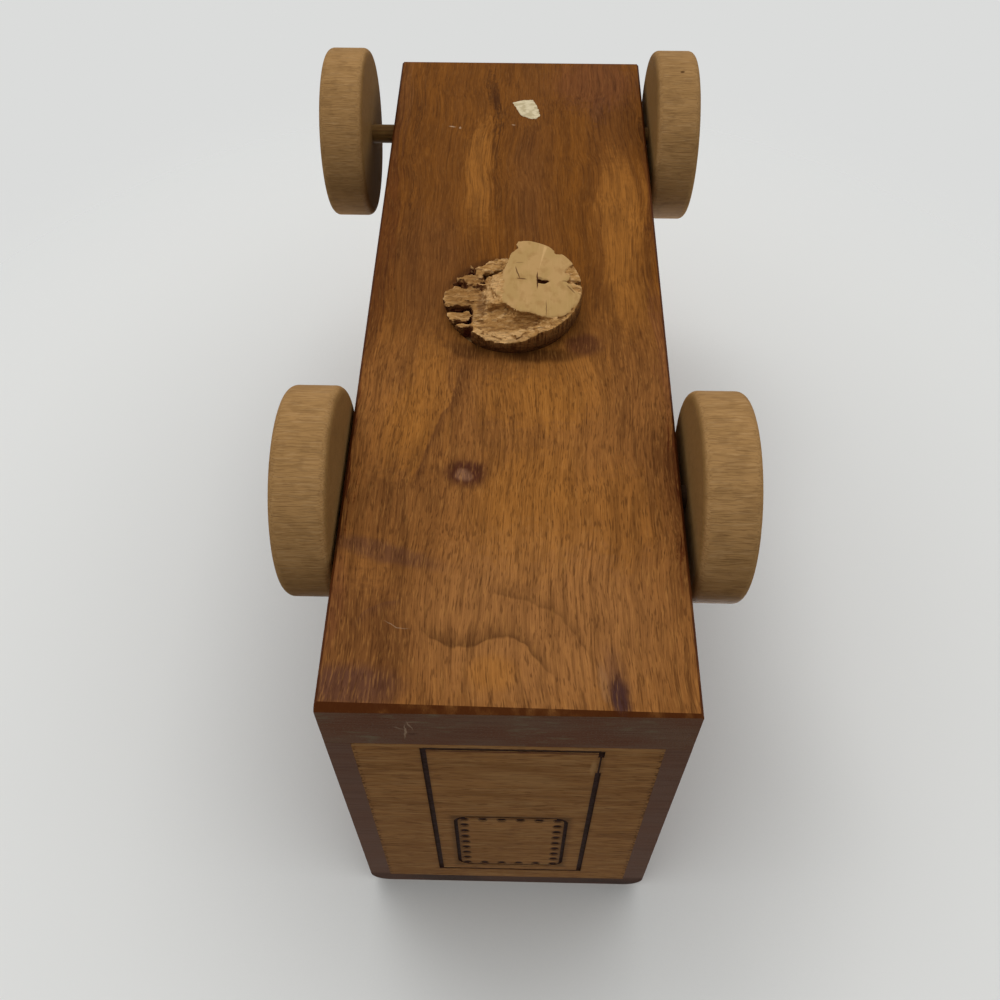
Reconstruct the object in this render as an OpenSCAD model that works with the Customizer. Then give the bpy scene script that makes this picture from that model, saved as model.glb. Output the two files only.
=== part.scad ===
// Wooden armored truck coin bank: a box of thin boards glued on a thick base board,
// with turned wheels on two dowel axles and a cork under the coin chamber.
// X runs across the truck, the front faces -Y, and the wheels stand on z = 0.
// Inside the body modules y = 0 is the rear face and z = 0 is the underside of the base.

/* [Body] */
// Width of the body across the side boards
body_w = 89; // [70:1:120]
// Length of the body from the rear face to the nose
body_len = 263; // [225:1:330]
// Thickness of the base board
base_t = 19; // [15:0.5:25]
// Height of the side boards above the base
wall_h = 109.5; // [90:0.5:140]
// Thickness of the side boards
side_t = 6.35; // [4.5:0.05:10]
// Thickness of the roof board
roof_t = 6.35; // [6.35:0.05:10]
// Radius along the long edges of the roof
roof_edge_r = 6; // [2:0.25:6]
// Thickness of the rear, windshield, hood and nose panels
panel_t = 9.5; // [6:0.5:13]
// Chamfer that eases the lower edges of the base
edge_ease = 0.7; // [0.3:0.1:1.5]

/* [Worn rear edge] */
// Width of the worn bevel under the rear edge, at the right-hand corner
wear_wide = 2.1; // [1:0.1:4]
// Width of the same bevel at the left-hand corner
wear_narrow = 0.9; // [0.3:0.1:1]
// Slope of the bevel
wear_slope = 34; // [20:1:60]

/* [Cab and hood] */
// Length of the hood from the nose to the foot of the windshield
hood_len = 52; // [40:1:65]
// Height of the hood above the base at the windshield
hood_h = 54; // [40:1:65]
// Fall of the hood from the windshield to the nose
hood_drop = 5; // [0:0.5:10]
// How far the windshield leans back on its way up to the roof
windshield_lean = 13; // [0:1:25]
// Radius between the hood and the nose
nose_r = 9; // [4:0.5:14]

/* [Coin slot and cork] */
// Length of the coin slot
slot_len = 38.1; // [30:0.1:45]
// Width of the coin slot
slot_w = 4.8; // [4.5:0.1:6]
// Diameter of the hole that the cork closes
cork_hole_d = 38.1; // [25:0.1:50]
// Radial gap between the cork and the edge of its hole
cork_gap = 0.1; // [0.05:0.01:0.3]
// Diameter of the swollen outer end of the cork
cork_lip_d = 41.2; // [39:0.1:56]
// Diameter of the inner end of the cork
cork_end_d = 34.5; // [20:0.1:36]
// Length of the cork
cork_len = 27; // [20:0.5:27]
// How far the cork stands out below the base
cork_proud = 9; // [5:0.5:12]
// How far the cork has crumbled away inside its hole on the broken side
cork_sunk = 1.8; // [0.5:0.1:4]
// Height of the cork's ledge at its low end, as a share of the crown's
cork_ledge_low = 0.45; // [0.2:0.05:0.9]
// Height of the cork's ledge at its high end, as a share of the crown's
cork_ledge_high = 0.85; // [0.2:0.05:0.95]
// Offset of the cork from the middle of the body, across and lengthwise
cork_off = [-1, 0];

/* [Wheels and axles] */
// Diameter of the wheels
wheel_d = 57.15; // [45:0.05:70]
// Thickness of the wheels
wheel_w = 14.7; // [10:0.1:20]
// Radius on the edges of the wheels
wheel_edge_r = 2.4; // [0.5:0.1:4]
// Diameter of the dowel axles
dowel_d = 6.35; // [5:0.05:7]
// Radial clearance of a dowel in the base board
dowel_gap = 0.4; // [0.1:0.05:0.8]
// Radial clearance of a wheel on its dowel
hub_gap = 0.05; // [0.02:0.01:0.1]
// Height of the axles above the underside of the base
axle_h = 7.5; // [6:0.1:9]
// Distance of the rear axle from the rear face
rear_axle_y = 67.1; // [40:0.1:90]
// Distance of the front axle from the rear face
front_axle_y = 228.6; // [190:0.1:232]
// Gap between the front right wheel and the body, with the axle slid to that side
front_right_gap = 8.6; // [0.5:0.1:12]
// Gap between the front left wheel and the body
front_left_gap = 1.9; // [0.5:0.1:12]
// Gap between the rear right wheel and the body
rear_right_gap = 0.9; // [0.5:0.1:12]
// Gap between the rear left wheel and the body
rear_left_gap = 2.2; // [0.5:0.1:12]

/* [Burnt lines on the rear door] */
// Width of a burnt line
line_w = 1.5; // [0.8:0.1:2.5]
// Width of the line across the foot of the door
foot_line_w = 0.9; // [0.5:0.1:2.5]
// Width of a burnt window outline
outline_w = 1.1; // [0.5:0.1:2]
// Depth of a burnt line
line_depth = 0.8; // [0.3:0.1:1.5]
// Depth of the faint line across the head of the door
head_line_depth = 0.3; // [0.1:0.1:1.5]
// Width that is left of the side line where it has closed up
closed_w = 0.5; // [0.3:0.1:1.5]
// Height above the foot line of the closed stretch, from and to
closed_span = [2.5, 14];
// Width of the rear door between its lines
door_w = 43.9; // [30:0.1:50]
// Gap below every door, above the base
door_foot = 3; // [2:0.5:10]
// Gap above every door, below the roof
door_head = 8; // [4:0.5:15]
// Sideways offset of the rear door
door_shift = 1.1; // [-2:0.1:2]
// Width of the window in the rear door
window_w = 31.6; // [20:0.1:35]
// Height of the window in the rear door
window_h = 44.5; // [30:0.1:50]
// Gap between a window and the head of its door
window_drop = 5; // [3:0.5:15]
// Corner radius of every window
window_r = 4; // [2:0.5:6]
// Inset of the rivet marks from the sides of the window outline
rivet_inset = 2.4; // [1.5:0.1:4]
// Inset of the rivet marks from its head and sill
rivet_row_inset = 1.8; // [1.5:0.1:4]
// Diameter of a rivet mark
rivet_d = 2.2; // [1:0.1:3]
// Spacing that the rivet marks keep to
rivet_pitch = 5; // [4:0.5:8]

/* [Burnt lines on the cab] */
// Width of the cab door
cab_door_w = 39; // [34:1:50]
// Distance of the cab door from the front edge of the roof
cab_door_gap = 10; // [5:1:20]
// Width of the window in the cab door
cab_window_w = 28; // [20:1:30]
// Height of the window in the cab door
cab_window_h = 30; // [20:1:40]
// Width of each windshield window
pane_w = 30; // [20:1:32]
// Height of each windshield window
pane_h = 34; // [20:1:38]
// Gap between the two windshield windows
pane_gap = 6; // [4:0.5:8]
// Diameter of a lamp ring
lamp_d = 16; // [10:0.5:18]
// Width of the grille
grille_w = 28; // [20:1:32]
// Height of the grille
grille_h = 32; // [20:1:34]
// Spacing of the grille bars
grille_pitch = 4; // [3:0.5:8]

/* [Hidden] */
$fn = 96;
// Overshoot of every cutter past the surface that it cuts
over = 1;
// The layers of the broken cork: where each starts across and lengthwise, its length and its
// thickness as shares of the lip's radius, its height as a share of the crown's, and its turn
cork_layers = [
    [-0.56, -0.63, 0.5, 0.19, 0.55, 4], [-0.76, -0.45, 0.45, 0.18, 0.42, -6],
    [-0.86, -0.19, 0.5, 0.19, 0.46, 3], [-1.02, 0, 0.72, 0.17, 0.5, -2],
    [-1, 0.28, 0.5, 0.15, 0.38, 3], [-0.85, 0.53, 0.4, 0.1, 0.38, -4],
    [-1, -0.05, 0.75, 0.75, 0.12, 0], [0.6, -0.6, 0.4, 0.85, 0.93, 0]];
inner_w = body_w - 2 * side_t;
wall_top = base_t + wall_h;
roof_top = wall_top + roof_t;
underside_z = wheel_d / 2 - axle_h;
right_reach = max(front_right_gap, rear_right_gap);
left_reach = max(front_left_gap, rear_left_gap);
// The body stands off centre because the front axle has slid to the right
body_x = (right_reach - left_reach) / 2;
nose_y = -body_len;
cowl_y = nose_y + hood_len;
brow_y = cowl_y + windshield_lean;
hood_angle = atan(hood_drop / hood_len);
lean_angle = atan(windshield_lean / (wall_h - hood_h));
// Run of the leaning windshield panel and of the sloping hood board along y and z
shield_run = panel_t / cos(lean_angle);
hood_rise = panel_t / cos(hood_angle);

// Height of the top of the hood at a place along the body
function hood_z(y) = base_t + hood_h - (cowl_y - y) * tan(hood_angle);
// Where the hood board ends, under the inner face of the windshield
hood_back_y = cowl_y + shield_run * cos(hood_angle);
nose_round_y = nose_y + nose_r;
nose_round_z = hood_z(nose_round_y) - nose_r / cos(hood_angle);

// Moves the body from its own datum to the ground and the middle of the wheels
module placed() {
    translate([body_x, body_len / 2, underside_z]) children();
}

// Turns an outline drawn as [y, z] into a board that starts at x and runs to x + t
module across(x, t) {
    translate([x, 0, 0]) rotate([90, 0, 90]) linear_extrude(t) children();
}

// What a quarter-round of radius r takes off an edge along Y that points up and to +X
module edge_round_cut(r, length) {
    difference() {
        translate([0, -length, 0]) cube([r + over, length, r + over]);
        translate([0, over, 0]) rotate([90, 0, 0]) cylinder(r = r, h = length + 2 * over);
    }
}

// What is left outside the round nose, between its two tangent points, from x to x + t
module nose_round_cut(x, t) {
    reach = nose_r + over;
    translate([0, nose_round_y, nose_round_z]) difference() {
        across(x - over, t + 2 * over)
            polygon([[0, 0], [-reach, 0], [-reach, reach], [-reach * tan(hood_angle), reach]]);
        translate([x - 2 * over, 0, 0]) rotate([0, 90, 0])
            cylinder(r = nose_r, h = t + 4 * over);
    }
}

// A slab with rounded corners, w wide and h high, centred on z from 0 to t
module rounded_slab(w, h, r, t) {
    translate([-w / 2 + r, -h / 2, 0]) cube([w - 2 * r, h, t]);
    translate([-w / 2, -h / 2 + r, 0]) cube([w, h - 2 * r, t]);
    for (x = [-1, 1], y = [-1, 1])
        translate([x * (w / 2 - r), y * (h / 2 - r), 0]) cylinder(r = r, h = t);
}

// Cutter for a burnt outline with rounded corners, sunk into a face that looks up
module burnt_outline(w, h, r) {
    translate([0, 0, -line_depth]) difference() {
        rounded_slab(w + outline_w, h + outline_w, r + outline_w / 2, line_depth + over);
        translate([0, 0, -over])
            rounded_slab(w - outline_w, h - outline_w, r - outline_w / 2, line_depth + 3 * over);
    }
}

// Cutter for a burnt ring of diameter d, sunk into a face that looks up
module burnt_ring(d) {
    translate([0, 0, -line_depth]) difference() {
        cylinder(d = d + line_w, h = line_depth + over);
        translate([0, 0, -over]) cylinder(d = d - line_w, h = line_depth + 3 * over);
    }
}

// Cutter for a straight burnt line from a to b, sunk into a face that looks up
module burnt_line(a, b, w = line_w, depth = line_depth) {
    run = b - a;
    translate([a.x, a.y, -depth]) rotate([0, 0, atan2(run.y, run.x)])
        translate([-w / 2, -w / 2, 0]) cube([norm(run) + w, w, depth + over]);
}

// Cutters for the rivet marks inside a window outline
module rivet_marks(w, h) {
    span = [w - 2 * rivet_inset, h - 2 * rivet_row_inset];
    gaps = [round(span.x / rivet_pitch), round(span.y / rivet_pitch)];
    for (i = [0:gaps.x], j = [0:gaps.y])
        if (i == 0 || i == gaps.x || j == 0 || j == gaps.y)
            translate([(i / gaps.x - 0.5) * span.x, (j / gaps.y - 0.5) * span.y, -line_depth / 2])
                cylinder(d = rivet_d, h = over + line_depth, $fn = 16);
}

// Cutters for a window: its outline and the rivet marks inside it
module window_cut(w, h) {
    burnt_outline(w, h, window_r);
    rivet_marks(w, h);
}

// The base board as sawn, with its two long lower edges eased
module base_blank() {
    edge = body_w / 2;
    rotate([90, 0, 0]) linear_extrude(body_len) polygon([
        [-edge + edge_ease, 0], [edge - edge_ease, 0], [edge, edge_ease],
        [edge, base_t], [-edge, base_t], [-edge, edge_ease]]);
}

module base_board() color("#8d5427") placed() difference() {
    base_blank();
    translate([cork_off.x, -body_len / 2 + cork_off.y, -over])
        cylinder(d = cork_hole_d, h = base_t + 2 * over);
    for (y = [rear_axle_y, front_axle_y])
        translate([-body_w / 2 - over, -y, axle_h]) rotate([0, 90, 0])
            cylinder(r = dowel_d / 2 + dowel_gap, h = body_w + 2 * over);
    worn_edge_cut();
}

// The bevel worn under the rear edge: wide at the right corner and narrow at the left
module worn_edge_cut() {
    turn = atan((wear_wide - wear_narrow) / body_w);
    reach = 4 * wear_wide;
    translate([-body_w / 2, -wear_wide, 0]) rotate([0, 0, turn]) rotate([wear_slope, 0, 0])
        translate([-body_w / 2, 0, -reach]) cube([2 * body_w, reach, reach]);
}

// Outline of a side board as [y, z], with the nose corner left square
function side_outline() = [
    [0, base_t], [0, wall_top], [brow_y, wall_top], [cowl_y, hood_z(cowl_y)],
    [nose_y, hood_z(nose_y)], [nose_y, base_t]];

// A side board in its place, from x inwards, with the line work on the face that looks out
module side_board(side) {
    x = side > 0 ? body_w / 2 - side_t : -body_w / 2;
    difference() {
        across(x, side_t) polygon(side_outline());
        nose_round_cut(x, side_t);
        cab_door_cut(side);
    }
}

// The cab door and its window on a side board
module cab_door_cut(side) {
    door_h = wall_h - door_foot - door_head;
    door_y = brow_y + cab_door_gap + cab_door_w / 2;
    translate([side * body_w / 2, door_y, base_t + door_foot]) rotate([90, 0, side * 90]) {
        translate([0, door_h / 2, 0]) burnt_outline(cab_door_w, door_h, window_r);
        translate([0, door_h - window_drop - cab_window_h / 2, 0])
            window_cut(cab_window_w, cab_window_h);
    }
}

module left_side() color("#7d4722") placed() side_board(1);

module right_side() color("#7d4722") placed() side_board(-1);

module roof_board() color("#7d4722") placed() difference() {
    translate([-body_w / 2, brow_y, wall_top]) cube([body_w, -brow_y, roof_t]);
    for (side = [0, 1])
        mirror([side, 0, 0])
            translate([body_w / 2 - roof_edge_r, over, roof_top - roof_edge_r])
                edge_round_cut(roof_edge_r, -brow_y + 2 * over);
    coin_slot_cut();
}

// The slot for coins, with the round ends of a routed slot
module coin_slot_cut() {
    straight = slot_len - slot_w;
    translate([0, brow_y / 2, wall_top - over]) {
        translate([-slot_w / 2, -straight / 2, 0]) cube([slot_w, straight, roof_t + 2 * over]);
        for (end = [-1, 1])
            translate([0, end * straight / 2, 0]) cylinder(d = slot_w, h = roof_t + 2 * over);
    }
}

module rear_panel() color("#b98a4a") placed() difference() {
    translate([-inner_w / 2, -panel_t, base_t]) cube([inner_w, panel_t, wall_h]);
    translate([door_shift, 0, base_t]) rotate([90, 0, 180]) rear_door_cut();
}

// The rear door, drawn with x to the left of the truck's rear and y up from the base
module rear_door_cut() {
    foot = door_foot;
    head = wall_h - door_head;
    half = door_w / 2;
    closed = [for (rise = closed_span) foot + rise];
    burnt_line([half, foot], [half, head]);
    burnt_line([-half, foot], [-half, closed[0]]);
    burnt_line([-half, closed[0]], [-half, closed[1]], closed_w, head_line_depth);
    burnt_line([-half, closed[1]], [-half, head]);
    burnt_line([-half, foot], [half, foot], foot_line_w);
    burnt_line([-half, head], [half, head], line_w, head_line_depth);
    translate([0, head - window_drop - window_h / 2, 0]) window_cut(window_w, window_h);
}

module windshield_panel() color("#b98a4a") placed() difference() {
    across(-inner_w / 2, inner_w) polygon([
        [cowl_y, hood_z(cowl_y)], [brow_y, wall_top], [brow_y + shield_run, wall_top],
        [hood_back_y, hood_z(hood_back_y)]]);
    windshield_cut();
}

// Two windows side by side in the middle of the leaning face
module windshield_cut() {
    face_h = (wall_h - hood_h) / cos(lean_angle);
    for (side = [-1, 1])
        translate([side * (pane_w + pane_gap) / 2, cowl_y, hood_z(cowl_y)])
            rotate([90 - lean_angle, 0, 0])
                translate([0, face_h / 2, 0]) window_cut(pane_w, pane_h);
}

module hood_board() color("#b98a4a") placed() difference() {
    across(-inner_w / 2, inner_w) polygon([
        [nose_y, hood_z(nose_y)], [hood_back_y, hood_z(hood_back_y)],
        [hood_back_y, hood_z(hood_back_y) - hood_rise], [nose_y, hood_z(nose_y) - hood_rise]]);
    nose_round_cut(-inner_w / 2, inner_w);
}

module nose_panel() color("#b98a4a") placed() difference() {
    across(-inner_w / 2, inner_w) polygon([
        [nose_y, base_t], [nose_y, hood_z(nose_y) - hood_rise],
        [nose_y + panel_t, hood_z(nose_y + panel_t) - hood_rise], [nose_y + panel_t, base_t]]);
    translate([0, nose_y, base_t]) rotate([90, 0, 0]) nose_cut();
}

// A grille with upright bars between two lamp rings, centred on the nose
module nose_cut() {
    bars = floor(grille_w / grille_pitch) - 1;
    bar_h = grille_h - 2 * window_r;
    lamp_x = (inner_w + grille_w) / 4;
    translate([0, (hood_h - hood_drop - hood_rise) / 2, 0]) {
        burnt_outline(grille_w, grille_h, window_r);
        for (i = [0:bars - 1])
            translate([(i - (bars - 1) / 2) * grille_pitch, 0, 0])
                burnt_line([0, -bar_h / 2], [0, bar_h / 2]);
        for (side = [-1, 1])
            translate([side * lamp_x, 0, 0]) burnt_ring(lamp_d);
    }
}

// The cork, tapered inside its hole and swollen outside it, with its outer end broken away
module cork_stopper() color("#c19a62") placed()
    translate([cork_off.x, -body_len / 2 + cork_off.y, 0]) intersection() {
        cork_blank();
        cork_remains();
    }

module cork_blank() {
    neck_r = cork_hole_d / 2 - cork_gap;
    lip_r = cork_lip_d / 2;
    flare = cork_proud / 3;
    rotate_extrude() polygon([
        [0, -cork_proud], [lip_r - 1, -cork_proud], [lip_r, -cork_proud + 1], [lip_r, -flare],
        [neck_r, 0], [cork_end_d / 2, cork_len - cork_proud], [0, cork_len - cork_proud]]);
}

// What is left of the cork: the plug in its hole, a flat crown, a lower ledge towards the
// rear and thin layers that stand up from the broken side
module cork_remains() {
    lip_r = cork_lip_d / 2;
    translate([-lip_r, -lip_r, cork_sunk]) cube([2 * lip_r, 2 * lip_r, cork_len]);
    translate([0, 0, -cork_proud]) linear_extrude(cork_proud + cork_sunk + over)
        polygon(lip_r * crown_outline());
    cork_ledge(lip_r);
    for (layer = cork_layers)
        translate([lip_r * layer[0], lip_r * layer[1], -cork_proud * layer[4]])
            rotate([0, 0, layer[5]])
                cube([lip_r * layer[2], lip_r * layer[3], cork_proud * layer[4] + cork_sunk + over]);
}

// The ledge, low at the right-hand side and nearly as high as the crown at the left
module cork_ledge(lip_r) {
    low = cork_proud * cork_ledge_low;
    high = cork_proud * cork_ledge_high;
    start_x = -0.68 * lip_r;
    level_x = 0.55 * lip_r;
    run_y = 0.78 * lip_r;
    root_z = cork_sunk + over;
    translate([0, lip_r, 0]) rotate([90, 0, 0]) linear_extrude(run_y) polygon([
        [start_x, root_z], [lip_r, root_z], [lip_r, -high], [level_x, -high], [start_x, -low]]);
}

// The edge of the crown, as shares of the lip's radius, from the front corner round by the left
function crown_outline() = [
    [0.04, -0.89], [0.07, -0.98], [0.5, -0.95], [0.61, -0.81], [0.64, -0.68], [0.8, -0.68],
    [0.89, -0.56], [0.78, -0.34], [0.8, -0.1], [0.99, 0.19], [0.94, 0.34], [0.82, 0.5],
    [0.48, 0.63], [0.18, 0.57], [0, 0.52], [-0.08, 0.45], [-0.33, 0.36], [-0.31, 0.16],
    [-0.42, -0.03], [-0.42, -0.22], [-0.12, -0.22], [-0.05, -0.59], [0.09, -0.82]];

// A dowel through the base from one wheel's outer face to the other's
module axle(y, right_gap, left_gap) {
    end_ease = 0.5;
    x0 = -body_w / 2 - right_gap - wheel_w;
    x1 = body_w / 2 + left_gap + wheel_w;
    translate([x0, -y, axle_h]) rotate([0, 90, 0]) {
        translate([0, 0, end_ease]) cylinder(d = dowel_d, h = x1 - x0 - 2 * end_ease);
        cylinder(d1 = dowel_d - 2 * end_ease, d2 = dowel_d, h = end_ease);
        translate([0, 0, x1 - x0 - end_ease])
            cylinder(d1 = dowel_d, d2 = dowel_d - 2 * end_ease, h = end_ease);
    }
}

module front_axle() color("#8a6a42") placed() axle(front_axle_y, front_right_gap, front_left_gap);

module rear_axle() color("#8a6a42") placed() axle(rear_axle_y, rear_right_gap, rear_left_gap);

// A turned disc with rounded edges and a bore for the dowel, from z = 0 to its thickness
module wheel() {
    r = wheel_d / 2;
    e = wheel_edge_r;
    rotate_extrude() difference() {
        union() {
            square([r - e, wheel_w]);
            translate([0, e]) square([r, wheel_w - 2 * e]);
            for (y = [e, wheel_w - e]) translate([r - e, y]) circle(e);
        }
        translate([-over, -over]) square([dowel_d / 2 + hub_gap + over, wheel_w + 2 * over]);
    }
}

// A wheel in its place: side 1 is the truck's left and -1 its right
module wheel_at(side, y, gap) {
    translate([side * (body_w / 2 + gap), -y, axle_h]) rotate([0, side * 90, 0]) wheel();
}

module front_left_wheel() color("#c8a06c") placed() wheel_at(1, front_axle_y, front_left_gap);

module front_right_wheel() color("#c8a06c") placed() wheel_at(-1, front_axle_y, front_right_gap);

module rear_left_wheel() color("#c8a06c") placed() wheel_at(1, rear_axle_y, rear_left_gap);

module rear_right_wheel() color("#c8a06c") placed() wheel_at(-1, rear_axle_y, rear_right_gap);

base_board();
left_side();
right_side();
roof_board();
rear_panel();
windshield_panel();
hood_board();
nose_panel();
cork_stopper();
front_axle();
rear_axle();
front_left_wheel();
front_right_wheel();
rear_left_wheel();
rear_right_wheel();
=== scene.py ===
"""Finishes a wooden armored truck coin bank: lacquered boards, turned wheels and a crumbled cork.

Inside the materials a place is given in millimetres of the truck itself: x across from the
middle, y lengthwise from the rear face (the front is negative) and z up from the underside.
"""

import math
import random

import bpy
from mathutils import Matrix, Vector


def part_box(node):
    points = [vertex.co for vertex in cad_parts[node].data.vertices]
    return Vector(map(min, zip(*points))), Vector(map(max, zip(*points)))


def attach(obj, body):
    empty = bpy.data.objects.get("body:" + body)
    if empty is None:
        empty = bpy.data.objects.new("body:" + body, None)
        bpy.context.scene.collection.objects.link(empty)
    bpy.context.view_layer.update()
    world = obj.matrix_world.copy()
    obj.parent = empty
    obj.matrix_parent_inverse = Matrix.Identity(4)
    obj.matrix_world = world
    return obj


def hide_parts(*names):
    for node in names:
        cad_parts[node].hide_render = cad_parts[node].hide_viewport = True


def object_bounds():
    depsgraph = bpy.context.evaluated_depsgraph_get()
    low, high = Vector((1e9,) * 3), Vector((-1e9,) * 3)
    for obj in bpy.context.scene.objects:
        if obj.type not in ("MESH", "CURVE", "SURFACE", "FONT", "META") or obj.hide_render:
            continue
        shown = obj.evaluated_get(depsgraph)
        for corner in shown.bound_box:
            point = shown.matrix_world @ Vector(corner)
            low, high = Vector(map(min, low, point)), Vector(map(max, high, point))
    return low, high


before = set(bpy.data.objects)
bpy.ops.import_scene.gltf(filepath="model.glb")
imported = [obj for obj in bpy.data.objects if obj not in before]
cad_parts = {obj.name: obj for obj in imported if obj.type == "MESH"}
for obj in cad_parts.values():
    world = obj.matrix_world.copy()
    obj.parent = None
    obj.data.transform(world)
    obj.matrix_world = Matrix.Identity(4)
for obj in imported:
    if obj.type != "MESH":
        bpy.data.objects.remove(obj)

bl_info = {
    "name": "Truck Coin Bank",
    "version": (1, 0, 0),
    "blender": (4, 5, 0),
    "location": "3D View > Sidebar > Coin Bank",
    "description": "Finishes the boards, wheels and cork of a wooden truck coin bank",
    "category": "Object",
}

MM = 0.001
CAD_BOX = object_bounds()
BASE_LOW, BASE_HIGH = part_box("base_board")
ROOF_LOW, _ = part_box("roof_board")
SHIELD_LOW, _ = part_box("windshield_panel")
# The truck's own datum in the frame: middle, rear face, underside
DATUM = Vector(((BASE_LOW.x + BASE_HIGH.x) / 2, BASE_HIGH.y, BASE_LOW.z))
LENGTH = (BASE_HIGH.y - BASE_LOW.y) / MM
WIDTH = (BASE_HIGH.x - BASE_LOW.x) / MM
# Sockets of a Mix node that mixes colours
FACTOR, FIRST, SECOND = 0, 6, 7
# Setting of a Map Range node that eases in and out
SMOOTH = {"interpolation_type": "SMOOTHSTEP"}
# Scale at which the Wave texture draws one ring per unit
RING = math.tau / 20
# Edges that turn more than this are eased, or stay sharp on the cork
CREASE = math.radians(35)


def linear(code):
    """Turns an sRGB hex colour into linear red, green, blue and alpha."""
    shares = [int(code[i : i + 2], 16) / 255 for i in (0, 2, 4)]
    return tuple(s / 12.92 if s <= 0.04045 else ((s + 0.055) / 1.055) ** 2.4 for s in shares) + (1.0,)


# Tones of the woods, the cork and the paper, as their finish shows them
TONES = {
    "golden": "a76c2d",
    "amber": "946030",
    "brown": "6f4523",
    "russet": "7c4a2c",
    "sand": "b07a48",
    "shine": "bd8444",
    "red_edge": "55200c",
    "umber": "40230f",
    "purple": "4f3330",
    "heart": "36232a",
    "blush": "93694e",
    "knot": "4b261c",
    "pale": "bfa283",
    "worn": "4c250d",
    "red_brown": "5f3417",
    "end": "6b442e",
    "end_rosy": "6c4f3f",
    "end_pale": "766350",
    "end_green": "7a7257",
    "roof_end_shade": "2a1608",
    "char": "2a1a14",
    "panel_dark": "855a30",
    "panel_pale": "b58a58",
    "panel_deep": "5f3a1c",
    "wheel_dark": "8b693f",
    "wheel_pale": "bd9a6e",
    "wheel_deep": "6f5030",
    "wheel_inner_shade": "76572f",
    "paper": "ddceaa",
    "paper_grey": "b3a27b",
    "cork_green": "a98952",
    "cork_pale": "c8a470",
    "cork_gold": "b98b52",
    "cork_light": "e3b981",
    "cork_brown": "8e6334",
    "cork_bark": "3f200e",
    "cork_red": "43180b",
}


def add(tree, kind, *inputs, out=None, **settings):
    """Adds a node, sets it up, and fills or links its inputs, which are given in their order or
    by name in one dict. Returns the output named out, or else the first live one."""
    node = tree.nodes.new("ShaderNode" + kind)
    for setting, value in settings.items():
        setattr(node, setting, value)
    named = inputs[0] if inputs and isinstance(inputs[0], dict) else dict(enumerate(inputs))
    for key, value in named.items():
        if isinstance(value, bpy.types.NodeSocket):
            tree.links.new(value, node.inputs[key])
        else:
            node.inputs[key].default_value = value
    return node.outputs[out] if out else next((o for o in node.outputs if o.enabled), None)


def new_material(name, origin=DATUM):
    """A new node material, its tree, and the place on its object in mm from an origin, which is
    the truck's datum unless another is given."""
    material = bpy.data.materials.new(name)
    material.use_nodes = True
    tree = material.node_tree
    tree.nodes.clear()
    here = add(tree, "TexCoord", out="Object")
    inputs = {"Vector": here, "Location": tuple(-origin / MM), "Scale": (1 / MM,) * 3}
    return material, tree, add(tree, "Mapping", inputs)


def surface(tree, colour, height, relief, roughness=0.5, **constants):
    """Ends a material: one Principled surface with a bump that is relief mm deep."""
    bump = add(tree, "Bump", {"Height": height, "Distance": relief * MM, "Strength": 1})
    inputs = {"Base Color": colour, "Normal": bump, "Roughness": roughness}
    inputs.update({name.replace("_", " "): value for name, value in constants.items()})
    shader = add(tree, "BsdfPrincipled", inputs)
    add(tree, "OutputMaterial", {"Surface": shader})


def streaks(tree, place, spacing, length, low, high, seed=0, detail=2, along=1):
    """Streaks along one axis, about spacing mm apart and length mm long, from 0 to 1. They
    begin where the noise is low and are whole where it is high."""
    scale = [1 / spacing] * 3
    scale[along] = 1 / length
    stretched = add(tree, "Mapping", {"Vector": place, "Location": (seed,) * 3, "Scale": scale})
    noise = add(tree, "TexNoise", {"Vector": stretched, "Scale": 1, "Detail": detail})
    return add(tree, "MapRange", noise, low, high, **SMOOTH)


def flecks(tree, place, spacing, length, amount, width=0.3, along=1):
    """Short separate dashes, like open pores: 1 inside a dash, for a share of the cells."""
    scale = [1 / spacing] * 3
    scale[along] = 1 / length
    stretched = add(tree, "Mapping", {"Vector": place, "Scale": scale})
    cells = add(tree, "TexVoronoi", {"Vector": stretched, "Scale": 1}).node.outputs
    dash = add(tree, "MapRange", cells["Distance"], width, 0.5 * width, **SMOOTH)
    luck = add(tree, "SeparateColor", cells["Color"], out="Red")
    chosen = add(tree, "Math", luck, amount, operation="LESS_THAN")
    return add(tree, "Math", dash, chosen, operation="MULTIPLY")


def oval(tree, place, centre, size, turn=0, soft=0.6):
    """A soft oval stain across and along the underside: 1 in its middle and 0 outside."""
    far = 1e4
    inputs = {
        "Vector": place,
        "Location": (*centre, 0),
        "Rotation": (0, 0, math.radians(turn)),
        "Scale": (size[0] / 2, size[1] / 2, far),
    }
    inside = add(tree, "Mapping", inputs, vector_type="TEXTURE")
    ball = add(tree, "TexGradient", inside, gradient_type="SPHERICAL")
    return add(tree, "MapRange", ball, 0, soft, **SMOOTH)


def standing(tree, place):
    """The place with its height in the lengthwise part's stead, for marks on a rear face."""
    axes = add(tree, "SeparateXYZ", place).node.outputs
    return add(tree, "CombineXYZ", axes["X"], axes["Z"])


def tint(tree, colour, mask, other, strength=1):
    """Lays another colour over a colour where the mask is. A tone may be given by its name."""
    first, second = (linear(TONES[c]) if isinstance(c, str) else c for c in (colour, other))
    amount = add(tree, "Math", mask, strength, operation="MULTIPLY")
    return add(tree, "Mix", {FACTOR: amount, FIRST: first, SECOND: second}, data_type="RGBA")


def both(tree, first, second):
    """Where two masks are at once; None in the second's place is everywhere."""
    if second is None:
        return first
    return add(tree, "Math", first, second, operation="MULTIPLY")


def grain(tree, colour, place, layers, along=1, where=None):
    """Lays streaks over a colour, each layer with its pattern, tone and strength. A pattern is
    its spacing, length, low and high level, and its seed and detail if it has them."""
    for pattern, tone, strength in layers:
        mask = both(tree, streaks(tree, place, *pattern, along=along), where)
        colour = tint(tree, colour, mask, tone, strength)
    return colour


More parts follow.
